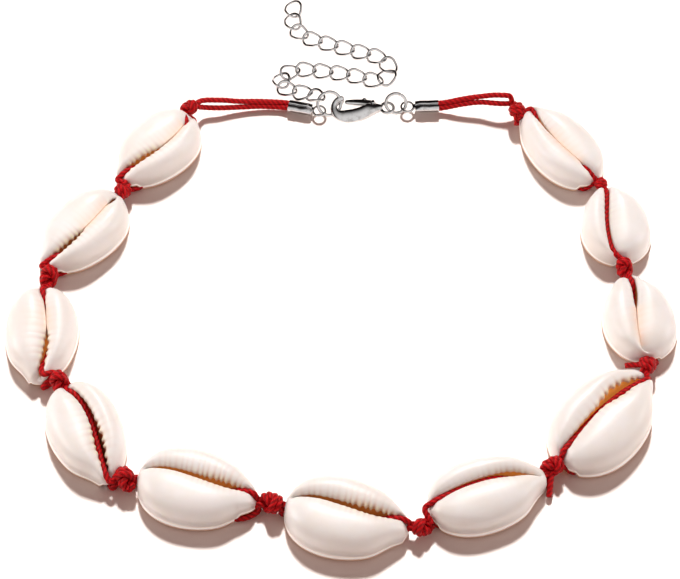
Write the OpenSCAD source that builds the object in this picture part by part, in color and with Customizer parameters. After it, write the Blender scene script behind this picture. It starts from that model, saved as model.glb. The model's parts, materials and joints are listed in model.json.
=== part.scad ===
// A choker of eleven cowrie shells knotted on a doubled cord, lying on a table.
// Each shell lies on its cut back with its slit upward. The cord passes through every
// slit and under every shell, is knotted between them, and ends in two metal cord ends.
// A lobster clasp joins them, and an extension chain trails from the left one.
// Millimetres. The table is z = 0 and the wearer's neck goes through along z.

/* [Shells] */
// Share of a shell's half length that its slit reaches
slit_reach = 0.88; // [0.85:0.01:0.91]
// How much a shell narrows from its back end to its front end
shell_taper = 0.15; // [0.05:0.01:0.2]
// Sideways bow of the slit toward the inside of the loop, as a share of the width
slit_bow = 0.07; // [0.04:0.01:0.08]
// Half width of the slit at its ends
slit_half_end = 0.8; // [0.8:0.05:0.95]
// Half width of the slit where it is widest, toward the front
slit_half_wide = 1.25; // [1:0.05:1.5]
// How much lower a shell is at its tips, as a share of its height
tip_drop = 0.55; // [0.5:0.01:0.58]
// Lift of the cut rim at the tips, where the cord passes under
tip_lift = 1.5; // [1.4:0.05:1.6]
// Stations around a shell
shell_steps = 30; // [24:2:32]

/* [Cord] */
// Thickness of one strand
strand_d = 1.2; // [1:0.05:1.25]
// Gap between a strand's end and the knot that the next strands leave
strand_gap = 0.3; // [0.2:0.05:0.4]
// Sides of a strand
strand_sides = 8; // [8:1:10]
// Spacing of the two strands where both pass under a tip
pair_spacing = 1.4; // [1.35:0.05:1.5]

/* [Cord ends] */
// Length of the folded sleeve
sleeve_l = 5.4; // [5:0.1:6]
// Width of the sleeve
sleeve_w = 2.9; // [2.8:0.1:3.2]
// Height of the sleeve
sleeve_h = 1.8; // [1.7:0.1:2]
// Thickness of its metal
sleeve_wall = 0.3; // [0.25:0.05:0.35]
// Wire of the loop soldered to the sleeve
loop_wire = 0.5; // [0.45:0.05:0.6]
// Middle radius of that loop
loop_r = 1.35; // [1.3:0.05:1.4]

/* [Rings] */
// Wire of the jump rings
ring_wire = 0.75; // [0.7:0.05:0.8]
// Middle radius of the left jump ring, which the clasp hooks
left_ring_r = 2.6; // [2.5:0.05:2.7]
// Middle radius of the right jump ring, in the clasp's eye
right_ring_r = 2.25; // [2.15:0.05:2.3]

/* [Chain] */
// Wire of a chain link
link_wire = 0.45; // [0.4:0.05:0.5]
// Outside width of a link
link_w = 4.2; // [4:0.1:4.4]
// Play of a link in the next one
link_play = 0.5; // [0.4:0.05:0.6]
// Roll of the links to either side of flat
link_roll = 40; // [38:1:45]
// Sides of a link's oval
link_sides = 24; // [16:4:32]

/* [Clasp] */
// Thickness of the clasp's body
clasp_t = 2.4; // [2.2:0.1:2.6]
// Thickness of its lever
lever_t = 1.1; // [1:0.1:1.2]
// Radius of the rivet that the lever turns on
rivet_r = 0.4; // [0.35:0.05:0.45]
// Running clearance of the lever around the rivet
rivet_play = 0.05; // [0.03:0.01:0.08]
// Clearance of the lever in its slot
slot_play = 0.15; // [0.1:0.05:0.2]

/* [Hidden] */
// Columns of the table of shells: centre, heading of the front end, sizes, height of the
// upper strand at the middle, and whether it passes over (1) or under (0) each tip
X = 0;
Y = 1;
HEADING = 2;
LONG = 3;
WIDE = 4;
HIGH = 5;
STRAND_Z = 6;
OVER_BACK = 7;
OVER_FRONT = 8;
shells = [
    [-40.47, 26.86, 228, 22.6, 15.0, 6.9, 2.6, 1, 1],
    [-55.27, 5.16, 229, 23.2, 15.2, 7.0, 2.4, 0, 1],
    [-61.97, -20.44, 271, 22.4, 15.3, 6.8, 3.0, 1, 1],
    [-50.87, -43.34, 296, 23.8, 15.0, 7.0, 5.6, 1, 1],
    [-28.37, -55.74, 347, 24.4, 16.2, 7.0, 2.4, 0, 1],
    [1.03, -62.04, 348, 24.8, 16.4, 7.2, 2.4, 0, 1],
    [28.73, -56.74, 17, 24.6, 15.2, 7.0, 3.6, 1, 0],
    [53.03, -40.24, 46, 27.2, 17.8, 7.6, 5.8, 1, 1],
    [61.63, -16.04, 103, 20.0, 15.2, 6.8, 2.8, 0, 1],
    [58.48, 7.16, 98, 19.0, 14.9, 6.8, 5.4, 1, 1],
    [47.83, 27.86, 127, 23.6, 14.2, 6.8, 2.6, 1, 1]
];
// Columns of the table of knots: centre and radius
KNOT_R = 3;
knots = [
    [-32.87, 38.16, 2.5, 2.1],
    [-47.27, 15.86, 3.4, 2.0],
    [-61.27, -6.54, 3.0, 2.1],
    [-57.37, -31.34, 4.5, 1.8],
    [-42.57, -53.74, 3.0, 2.1],
    [-13.77, -58.84, 2.6, 2.3],
    [15.73, -63.94, 2.6, 2.1],
    [41.83, -51.54, 2.6, 1.9],
    [62.43, -28.24, 2.9, 1.9],
    [59.53, -4.24, 3.0, 1.8],
    [56.03, 17.56, 2.7, 1.2],
    [38.03, 38.86, 3.4, 2.1]
];
shell_n = len(shells);

// The outside of a shell's wall from its cut rim to its slit, then the inside back again:
// share of the way out from the slit, and share of the height
OUT = 0;
UP = 1;
wall_profile = [
    [0.80, 0], [0.94, 0.13], [1, 0.30], [0.97, 0.50], [0.86, 0.73], [0.66, 0.91], [0.40, 1], [0.15, 0.98],
    [0, 0.83], [0.04, 0.66], [0.38, 0.76], [0.70, 0.55], [0.70, 0]
];
// Share of the half length past which the rim begins to lift, and where it is fully lifted
lift_from = 0.72;
lift_to = 0.86;
// How late along a shell its height falls toward the tips
tip_power = 3;

// Route of a tail's two strands from the outermost knot toward the sleeve, seen from above
// and in height, and how far apart the strands lie along it and in the sleeve
left_tail = [[-30.27, 39.16, 2.2], [-26.27, 40.06, 1.9], [-21.27, 40.56, 1.6], [-16.77, 40.46, 1.4]];
left_spread = [1.3, 1.9, 1.7, 1.35];
right_tail = [[34.63, 39.96, 3.8], [31.23, 40.46, 4.0], [27.73, 40.36, 3.6], [24.53, 39.76, 2.4]];
right_spread = [1.4, 2.1, 1.9, 1.35];
sleeve_spread = 1.1;
tail_end_r = 0.5;
tail_seat = 1.3;

// Sleeves: the end with the loop, and the heading from there toward the tail
left_sleeve = [-6.57, 38.46, 1.4];
left_sleeve_turn = 168;
right_sleeve = [16.43, 39.16, 1.6];
right_sleeve_turn = 2;
sleeve_floor = 1.2;
loop_neck = 0.5;

// Jump rings: centre, turn about z and tilt toward the viewer
left_ring = [-2.62, 39.46, 2.28];
left_ring_turn = 12;
left_ring_tilt = 47;
right_ring = [12.13, 39.56, 2.25];
right_ring_turn = 0;
right_ring_tilt = 55;

// Clasp: its place, and its outline's centres and radii about that place
clasp_at = [3.73, 38.66, 0.15];
bow_at = [-2.95, -0.45];
bow_r = 3.25;
hollow_at = [-3.05, 0.2];
hollow_r = 1.85;
eye_at = [6.5, 0.3];
eye_r = 1.7;
eye_hole_r = 1.1;
eye_t = 0.8;
hook_t = 1.1;
hook_lift = 1;
hook_to = -2.95;
rivet_at = [3.3, 1.3];
lever_tip_at = [-2.4, 2.1];
lever_root_r = 0.95;
lever_tip_r = 0.5;
thumb_at = [1.4, 2.2];
thumb_r = 0.5;
lever_open = 18;

// Route of the chain: the joints between its links, from the free end to the left ring. A
// joint with no height of its own lies as low as the links allow
chain_route = [
    [-10.77, 69.46], [-11.27, 65.66], [-10.87, 61.86], [-8.27, 59.16], [-4.67, 57.86], [-1.07, 56.56],
    [2.63, 55.36], [6.33, 54.36], [9.73, 52.76], [11.43, 49.36], [9.03, 46.36], [5.33, 47.36],
    [1.63, 48.46], [-2.17, 49.16], [-5.97, 49.66], [-9.77, 50.06], [-13.17, 48.56], [-13.77, 44.86, 1.6],
    [-10.47, 42.96, 1.75], [-6.77, 42.46, 2.2], [-4.67, 39.56, 3.6]
];
link_low = link_w / 2 * sin(link_roll) + link_wire / 2 * cos(link_roll);

two_digits = ["00", "01", "02", "03", "04", "05", "06", "07", "08", "09", "10", "11", "12", "13", "14", "15",
    "16", "17", "18", "19", "20"];
link_n = len(chain_route) - 1;
shell_color = "ivory";
cord_color = "firebrick";
metal_color = "silver";

// Vectors

function unit(v) = v / norm(v);
function lerp(a, b, t) = a + (b - a) * t;
function ramp(t) = let (c = min(1, max(0, t))) c * c * (3 - 2 * c);

// A point of shell s's own frame, with x toward its front end, set down in the choker
function set_down(s, p) = [
    s[X] + p[0] * cos(s[HEADING]) - p[1] * sin(s[HEADING]),
    s[Y] + p[0] * sin(s[HEADING]) + p[1] * cos(s[HEADING]),
    p[2]
];

// Middle line of the slit, with u from -1 to 1 along it
function slit_y(s, u) = slit_bow * s[WIDE] * (1 - u * u) * (1 - 0.3 * u);
function slit_mid(s, share) = slit_y(s, min(1, max(-1, share / slit_reach)));
function slit_half(u) = slit_half_end + (slit_half_wide - slit_half_end) * ramp(1 - abs(u - 0.35) / 0.6);

// One station of a shell's wall, at the angle a around it
function wall_station(s, a) =
    let (
        u = cos(a),
        v = sin(a),
        edge = [s[LONG] / 2 * u, s[WIDE] / 2 * v * (1 - shell_taper * u)],
        lip_x = slit_reach * s[LONG] / 2 * u,
        side = sign(v) * min(1, abs(v) * 2.5),
        lip = [lip_x, slit_y(s, u) + side * slit_half(u)],
        low = tip_lift * ramp((abs(u) - lift_from) / (lift_to - lift_from)),
        high = s[HIGH] * (1 - tip_drop * pow(abs(u), tip_power))
    )
    [for (p = wall_profile)
        let (at = lerp(lip, edge, p[OUT]))
        set_down(s, [at[0], at[1], low + (high - low) * p[UP]])];

// A closed wall from stations that go round and meet
module closed_wall(stations) {
    n = len(stations);
    m = len(stations[0]);
    polyhedron(
        points = [for (station = stations) each station],
        faces = [for (i = [0 : n - 1], j = [0 : m - 1])
            let (i2 = (i + 1) % n, j2 = (j + 1) % m)
            each [[i * m + j, i * m + j2, i2 * m + j2], [i * m + j, i2 * m + j2, i2 * m + j]]]
    );
}

module shell(k) {
    s = shells[k - 1];
    color(shell_color)
        closed_wall([for (i = [0 : shell_steps - 1]) wall_station(s, (i + 0.5) * 360 / shell_steps)]);
}

// A tube along a path with a radius at each of its points
function tube_ring(p, along, r) =
    let (side = unit(cross(along, [0, 0, 1])), up = cross(side, along))
    [for (i = [0 : strand_sides - 1])
        let (a = (i + 0.5) * 360 / strand_sides)
        p + r / cos(180 / strand_sides) * (cos(a) * side + sin(a) * up)];
function along_path(path, i) =
    unit(path[min(i + 1, len(path) - 1)] - path[max(i - 1, 0)]);

module tube(path, radii) {
    n = len(path);
    m = strand_sides;
    rings = [for (i = [0 : n - 1]) tube_ring(path[i], along_path(path, i), radii[i])];
    sides = [for (i = [0 : n - 2], j = [0 : m - 1])
        let (j2 = (j + 1) % m)
        each [[i * m + j, (i + 1) * m + j2, (i + 1) * m + j], [i * m + j, i * m + j2, (i + 1) * m + j2]]];
    first = [for (j = [m - 1 : -1 : 0]) j];
    last = [for (j = [0 : m - 1]) (n - 1) * m + j];
    polyhedron(points = [for (ring = rings) each ring], faces = concat(sides, [first], [last]));
}

// Cord

strand_r = strand_d / 2 * cos(180 / strand_sides);
function knot_at(k) = [knots[k - 1][0], knots[k - 1][1], knots[k - 1][2]];
function knot_r(k) = knots[k - 1][KNOT_R];
// The point on the way from a knot's middle toward p where a strand begins
function leave_knot(k, p) = knot_at(k) + unit(p - knot_at(k)) * (knot_r(k) + strand_gap);
// The points of a route that lie clear of a knot
function clear_of(k, route, room) = [for (p = route) if (norm(p - knot_at(k)) > knot_r(k) + room) p];

// Heights of the upper strand along a shell, from its back tip to its front tip
under_z = strand_d / 2 + 0.05;
function over_z(s) = s[HIGH] * (1 - 0.86 * tip_drop) + strand_d / 2 + 0.1;
function upper_route(s) =
    let (
        back = s[OVER_BACK] * over_z(s) + (1 - s[OVER_BACK]) * under_z,
        front = s[OVER_FRONT] * over_z(s) + (1 - s[OVER_FRONT]) * under_z,
        back_y = (1 - s[OVER_BACK]) * pair_spacing / 2,
        front_y = (1 - s[OVER_FRONT]) * pair_spacing / 2,
        mid = s[STRAND_Z],
        back_in = s[OVER_BACK] == 1 ? max(back + 0.5, mid) : back,
        front_in = s[OVER_FRONT] == 1 ? max(front + 0.5, mid) : front
    )
    [
        [-1.02, back_y, back - 0.15 * s[OVER_BACK]],
        [-0.9, back_y, back + 0.1 * s[OVER_BACK]],
        [-0.74, slit_mid(s, -0.74) * s[OVER_BACK] + back_y, lerp(back, back_in, 0.7)],
        [-0.5, slit_mid(s, -0.5), lerp(back_in, mid, 0.4)],
        [-0.2, slit_mid(s, -0.2), mid],
        [0.15, slit_mid(s, 0.15), mid],
        [0.5, slit_mid(s, 0.5), lerp(mid, front_in, 0.5)],
        [0.74, slit_mid(s, 0.74) * s[OVER_FRONT] + front_y, lerp(front_in, front, 0.4)],
        [0.9, front_y, front + 0.1 * s[OVER_FRONT]],
        [1.02, front_y, front - 0.15 * s[OVER_FRONT]]
    ];
function lower_route(s) =
    let (
        back_y = (1 - s[OVER_BACK]) * pair_spacing / 2,
        front_y = (1 - s[OVER_FRONT]) * pair_spacing / 2
    )
    [[-1.03, -back_y, under_z], [-0.85, -back_y, under_z], [-0.35, -pair_spacing / 2, under_z],
        [0.35, -pair_spacing / 2, under_z], [0.85, -front_y, under_z], [1.08, -front_y, under_z]];
function placed(s, route) = [for (p = route) set_down(s, [p[0] * s[LONG] / 2, p[1], p[2]])];

// A knot is a round lump between the strands that it ties
module knot(k, toward) {
    c = knot_at(k);
    r = knot_r(k);
    tube([for (h = [-0.92, -0.6, 0, 0.6, 0.92]) c + toward * r * h],
        [for (h = [-0.92, -0.6, 0, 0.6, 0.92]) r * sqrt(1 - h * h) * cos(180 / strand_sides)]);
}

// The two strands through shell k and the knot at its front end
module cord_through(k) {
    s = shells[k - 1];
    ahead = [cos(s[HEADING]), sin(s[HEADING]), 0];
    color(cord_color)
        union() {
            for (route = [upper_route(s), lower_route(s)]) {
                inside = clear_of(k + 1, clear_of(k, placed(s, route), strand_gap + 0.5), -0.3);
                path = concat([leave_knot(k, inside[0])], inside, [knot_at(k + 1)]);
                tube(path, [for (p = path) strand_r]);
            }
            knot(k + 1, ahead);
        }
}

// A point on a sleeve's axis, so far from its loop end
function sleeve_point(at, turn, far) = at + far * [cos(turn), sin(turn), 0];

// A tail's two strands from a knot, or from just outside it, into a sleeve
module tail(from, route, spread, sleeve, turn) {
    whole = concat(route, [sleeve_point(sleeve, turn, sleeve_l + 0.4), sleeve_point(sleeve, turn, sleeve_l - tail_seat)]);
    apart = concat(spread, [sleeve_spread, sleeve_spread]);
    last = len(whole) - 1;
    for (side = [-1, 1]) {
        run = [for (i = [0 : last])
            let (along = along_path(whole, i))
            whole[i] + side * apart[i] / 2 * unit([-along[1], along[0], 0])];
        tube(concat([from], run), [for (i = [0 : last + 1]) i < last ? strand_r : tail_end_r]);
    }
}

module cord_left_tail() {
    color(cord_color)
        union() {
            tail(knot_at(1), left_tail, left_spread, left_sleeve, left_sleeve_turn);
            knot(1, [0.8, 0.6, 0]);
        }
}

module cord_right_tail() {
    color(cord_color)
        tail(leave_knot(12, right_tail[0]), right_tail, right_spread, right_sleeve, right_sleeve_turn);
}

// A folded sleeve with a soldered loop, its loop end at the origin and its mouth toward +x
module cord_end(at, turn) {
    color(metal_color)
        translate(at)
            rotate([0, 0, turn])
                union() {
                    difference() {
                        translate([0, -sleeve_w / 2, -sleeve_h / 2])
                            cube([sleeve_l, sleeve_w, sleeve_h]);
                        translate([sleeve_floor, -sleeve_w / 2 + sleeve_wall, -sleeve_h / 2 + sleeve_wall])
                            cube([sleeve_l, sleeve_w - 2 * sleeve_wall, sleeve_h - 2 * sleeve_wall]);
                    }
                    translate([-loop_neck, -0.5, -loop_wire / 2])
                        cube([loop_neck + 0.1, 1, loop_wire]);
                    translate([-loop_neck - loop_r + 0.1, 0, 0])
                        rotate_extrude($fn = 48)
                            translate([loop_r, 0])
                                circle(d = loop_wire, $fn = 24);
                }
}

module jump_ring(at, turn, tilt, r) {
    color(metal_color)
        translate(at)
            rotate([tilt, 0, turn])
                rotate_extrude($fn = 64)
                    translate([r, 0])
                        circle(d = ring_wire, $fn = 24);
}

// One link about the origin, its length along x: a flat oval with a square section
function oval(length, width) =
    let (r = width / 2, straight = (length - width) / 2)
    [for (i = [0 : link_sides - 1])
        let (a = (i + 0.5) * 360 / link_sides)
        [sign(cos(a)) * straight + r * cos(a), r * sin(a)]];
module link_shape(length) {
    translate([0, 0, -link_wire / 2])
        linear_extrude(link_wire)
            difference() {
                polygon(oval(length, link_w));
                polygon(oval(length - 2 * link_wire, link_w - 2 * link_wire));
            }
}

// Link i lies between its two joints and rolls to the other side of its neighbour
function joint(i) = let (p = chain_route[i]) [p[0], p[1], len(p) == 3 ? p[2] : link_low];
module chain_link(i) {
    a = joint(i - 1);
    b = joint(i);
    along = b - a;
    roll = i % 2 == 0 ? -link_roll : link_roll;
    color(metal_color)
        translate((a + b) / 2)
            rotate([0, -asin(along[2] / norm(along)), atan2(along[1], along[0])])
                rotate([roll, 0, 0])
                    link_shape(norm(along) + link_play + 2 * link_wire);
}

// Clasp

module bow_outline() {
    translate(bow_at)
        circle(r = bow_r, $fn = 64);
    polygon([[-2.3, -3.63], [5.6, -1.2], [6, 1.9], [3.3, 2.4], [-2.3, 2.7]]);
    translate(eye_at)
        circle(r = eye_r, $fn = 48);
}

module hollow_outline() {
    translate(hollow_at)
        circle(r = hollow_r, $fn = 48);
    polygon([[-3.05, -1.65], [2.2, -0.7], [2.2, 1], [-3.05, 2.05]]);
}

// The lever, grown sideways by some clearance
module lever_solid(height, grow) {
    along = lever_tip_at - rivet_at;
    side = unit([-along[1], along[0]]);
    root = 0.97 * (lever_root_r + grow);
    tip = 0.95 * (lever_tip_r + grow);
    union() {
        translate([rivet_at[0], rivet_at[1], 0])
            cylinder(h = height, r = lever_root_r + grow, $fn = 48);
        translate([lever_tip_at[0], lever_tip_at[1], 0])
            cylinder(h = height, r = lever_tip_r + grow, $fn = 32);
        translate([thumb_at[0], thumb_at[1], 0])
            cylinder(h = height, r = thumb_r + grow, $fn = 32);
        linear_extrude(height)
            polygon([rivet_at + side * root, lever_tip_at + side * tip, lever_tip_at - side * tip,
                rivet_at - side * root]);
    }
}

module clasp_body() {
    color(metal_color)
        translate(clasp_at)
            union() {
                difference() {
                    linear_extrude(clasp_t)
                        difference() {
                            bow_outline();
                            hollow_outline();
                            translate(eye_at)
                                circle(r = eye_hole_r, $fn = 48);
                            // The mouth that the lever closes
                            polygon([[lever_tip_at[0], 1], [2.2, 1], [2.2, 3.4], [lever_tip_at[0], 3.4]]);
                        }
                    // The eye is thinner than the body
                    for (z = [-clasp_t, clasp_t / 2 + eye_t / 2])
                        translate([eye_at[0] - eye_r, -3, z])
                            cube([2 * eye_r + 1, 6, clasp_t * 1.5 - eye_t / 2]);
                    // So is the hook, which lies above the table
                    for (z = [hook_lift - clasp_t, hook_lift + hook_t])
                        translate([hook_to - 4, -1.9, z])
                            cube([4, 5.5, clasp_t]);
                    // The slot that the lever swings in
                    for (turn = [0, lever_open / 2, lever_open])
                        translate([rivet_at[0], rivet_at[1], clasp_t / 2 - lever_t / 2 - slot_play])
                            rotate([0, 0, turn])
                                translate([-rivet_at[0], -rivet_at[1], 0])
                                    lever_solid(lever_t + 2 * slot_play, slot_play);
                }
                translate([rivet_at[0], rivet_at[1], 0])
                    cylinder(h = clasp_t, r = rivet_r, $fn = 32);
            }
}

module clasp_lever() {
    color(metal_color)
        translate([clasp_at[0], clasp_at[1], clasp_at[2] + clasp_t / 2 - lever_t / 2])
            difference() {
                lever_solid(lever_t, 0);
                translate([rivet_at[0], rivet_at[1], -1])
                    cylinder(h = lever_t + 2, r = rivet_r + rivet_play, $fn = 32);
            }
}

for (k = [1 : shell_n])
    shell(k);
cord_left_tail();  // cord_00
for (k = [1 : shell_n])
    cord_through(k);
cord_right_tail();  // cord_12
cord_end(left_sleeve, left_sleeve_turn);  // cord_end_left
cord_end(right_sleeve, right_sleeve_turn);  // cord_end_right
jump_ring(left_ring, left_ring_turn, left_ring_tilt, left_ring_r);  // jump_ring_left
jump_ring(right_ring, right_ring_turn, right_ring_tilt, right_ring_r);  // jump_ring_right
clasp_body();
clasp_lever();
for (i = [1 : link_n])
    chain_link(i);
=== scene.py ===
import json
import math

import bpy
import numpy as np
from mathutils import Matrix, Vector

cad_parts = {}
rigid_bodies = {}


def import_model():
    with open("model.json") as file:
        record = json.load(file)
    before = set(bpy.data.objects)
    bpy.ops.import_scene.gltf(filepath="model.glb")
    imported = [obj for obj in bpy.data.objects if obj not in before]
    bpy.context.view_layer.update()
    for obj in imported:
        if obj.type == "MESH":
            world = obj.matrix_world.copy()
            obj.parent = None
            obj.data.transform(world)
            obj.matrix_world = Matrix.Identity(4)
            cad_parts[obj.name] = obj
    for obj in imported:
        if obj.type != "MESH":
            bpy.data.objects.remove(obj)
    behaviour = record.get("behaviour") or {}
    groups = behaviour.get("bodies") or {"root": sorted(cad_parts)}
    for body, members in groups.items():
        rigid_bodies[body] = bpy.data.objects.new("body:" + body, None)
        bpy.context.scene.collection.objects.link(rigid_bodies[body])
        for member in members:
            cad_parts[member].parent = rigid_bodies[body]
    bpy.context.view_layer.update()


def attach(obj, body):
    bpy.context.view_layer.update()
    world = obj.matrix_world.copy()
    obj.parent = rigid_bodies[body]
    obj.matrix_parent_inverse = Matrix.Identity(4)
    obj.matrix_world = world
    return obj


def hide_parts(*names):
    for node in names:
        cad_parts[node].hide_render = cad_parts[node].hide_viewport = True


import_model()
scene = bpy.context.scene
mm = 0.001
print("frame loaded")


def deselectAll():
    bpy.ops.object.select_all(action="DESELECT")


def flatSpot(at):
    return (at[0] * mm, at[1] * mm, 0)


def activate(piece):
    deselectAll()
    piece.select_set(True)
    bpy.context.view_layer.objects.active = piece


def settle(piece):  # its place goes into its mesh
    activate(piece)
    bpy.ops.object.transform_apply(location=True, rotation=True, scale=True)


def setAt(piece, at, rotation=(0, 0, 0)):  # at is in mm
    piece.rotation_euler = rotation
    piece.location = Vector(at) * mm
    settle(piece)


def joinPieces(pieces, name):
    deselectAll()
    for each in pieces:
        each.select_set(True)
    bpy.context.view_layer.objects.active = pieces[0]
    bpy.ops.object.join()
    piece = bpy.context.view_layer.objects.active
    piece.name = name
    return piece


def pointsOf(piece):
    flat = np.empty(len(piece.data.vertices) * 3)
    piece.data.vertices.foreach_get("co", flat)
    return flat.reshape(-1, 3)


def movePoints(piece, points):
    piece.data.vertices.foreach_set("co", np.ascontiguousarray(points, dtype=np.float32).ravel())
    piece.data.update()


def paintPoints(piece, name, *tones):  # four tones on each vertex, for the material to read
    layer = piece.data.color_attributes.new(name, "FLOAT_COLOR", "POINT")
    colors = np.stack(np.broadcast_arrays(*tones), -1)
    layer.data.foreach_set("color", colors.astype(np.float32).ravel())


def addRing(around, section, radius, wire, at=(0, 0)):  # radii and place are in mm
    bpy.ops.mesh.primitive_torus_add(major_segments=around, minor_segments=section, major_radius=radius * mm,
                                     minor_radius=wire * mm, location=flatSpot(at))
    piece = bpy.context.object
    settle(piece)
    return piece


def meshFrom(curve):
    piece = bpy.data.objects.new(curve.name, curve)
    scene.collection.objects.link(piece)
    activate(piece)
    bpy.ops.object.convert(target="MESH")
    return bpy.context.object


def roundEdges(piece, width):
    soft = piece.modifiers.new("edges", "BEVEL")
    soft.width = width
    soft.segments = 3
    activate(piece)
    bpy.ops.object.modifier_apply(modifier=soft.name)


def aimAt(piece, fromWhere):
    piece.rotation_mode = "QUATERNION"
    piece.rotation_quaternion = (-fromWhere).to_track_quat("-Z", "Y")


def dress(piece, material, slotName, body, *nodes):
    piece.data.materials.clear()
    piece.data.materials.append(material)
    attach(piece, body)
    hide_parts(*nodes)


def smoothStep(value):
    value = np.clip(value, 0, 1)
    return value * value * (3 - 2 * value)


# Camera, at the photo's angle

cameraPlan = {
    "target": (-0.27 * mm, -7.74 * mm, 0),
    "distance": 430 * mm,
    "elevation": 58,
    "lens": 108.13,
}


def placeCamera():
    plan = cameraPlan
    tilt = math.radians(plan["elevation"])
    back = Vector((0, -math.cos(tilt), math.sin(tilt)))
    bpy.ops.object.camera_add(location=Vector(plan["target"]) + back * plan["distance"])
    camera = bpy.context.object
    aimAt(camera, back)
    camera.data.lens = plan["lens"]
    camera.data.sensor_width = 36
    camera.data.clip_start = 0.02
    scene.camera = camera


placeCamera()
print("camera placed")


# Materials

def newMaterial(name):
    material = bpy.data.materials.new(name)
    material.use_nodes = True
    tree = material.node_tree
    shader = tree.nodes["Principled BSDF"]
    return material, tree, shader


def addNode(tree, kind, **inputs):
    node = tree.nodes.new(kind)
    for key, value in inputs.items():
        if hasattr(node, key):
            setattr(node, key, value)
        else:
            node.inputs[key].default_value = value
    return node


def mixColors(tree, factor, first, second):
    mix = tree.nodes.new("ShaderNodeMix")
    mix.data_type = "RGBA"
    for socket, value in ((mix.inputs[0], factor), (mix.inputs[6], first), (mix.inputs[7], second)):
        if isinstance(value, bpy.types.NodeSocket):
            tree.links.new(value, socket)
        else:
            socket.default_value = value
    return mix.outputs[2]


def remap(tree, value, low, high, toLow=0.0, toHigh=1.0):
    node = tree.nodes.new("ShaderNodeMapRange")
    node.interpolation_type = "SMOOTHSTEP"
    tree.links.new(value, node.inputs["Value"])
    node.inputs["From Min"].default_value = low
    node.inputs["From Max"].default_value = high
    node.inputs["To Min"].default_value = toLow
    node.inputs["To Max"].default_value = toHigh
    return node.outputs["Result"]


def objectNoise(tree, scale, detail, rough=0.5):
    place = tree.nodes.new("ShaderNodeTexCoord")
    noise = addNode(tree, "ShaderNodeTexNoise", Scale=scale, Detail=detail, Roughness=rough)
    tree.links.new(place.outputs["Object"], noise.inputs["Vector"])
    return noise.outputs["Fac"]


def addBump(tree, shader, height, strength, distance):
    bump = tree.nodes.new("ShaderNodeBump")
    bump.inputs["Strength"].default_value = strength
    bump.inputs["Distance"].default_value = distance
    tree.links.new(height, bump.inputs["Height"])
    tree.links.new(bump.outputs["Normal"], shader.inputs["Normal"])


def readTones(tree, name):  # the four tones that paintPoints left
    tone = addNode(tree, "ShaderNodeAttribute", attribute_name=name)
    split = tree.nodes.new("ShaderNodeSeparateColor")
    tree.links.new(tone.outputs["Color"], split.inputs["Color"])
    return [*split.outputs, tone.outputs["Alpha"]]


porcelainLook = {
    "cream": (0.765, 0.735, 0.695, 1),
    "pale": (0.79, 0.775, 0.755, 1),
    "blush": (0.765, 0.70, 0.66, 1),
    # The base rim: its whitish flare, made lighter still as a painted highlight, which also glows
    "rim": (0.93, 0.905, 0.87, 1),
    "ribLine": (0.70, 0.54, 0.47, 1),
    "toothTip": (0.84, 0.76, 0.52, 1),
    "crease": (0.86, 0.62, 0.47, 1),
    "gap": (0.56, 0.27, 0.11, 1),
    # Painted light inside the slit: amber near the lip, brown further in, and dark deep down as painted shade
    "amberGlow": (0.80, 0.36, 0.07, 1),
    "brown": (0.38, 0.10, 0.02, 1),
    "hollowShade": (0.10, 0.02, 0.01, 1),
    # Orange-brown on the base's cut edge: painted light through the thin wall, which also glows
    "cutEdgeGlow": (0.62, 0.25, 0.07, 1),
    "glow": 0.26,           # light that comes through the thin wall
    "coat": (0.25, 0.3),    # weight and roughness
    "depth": (0.12, 0.6),   # weight of the subsurface scattering, and its reach in mm
    "bump": 0.05,
}


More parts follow.
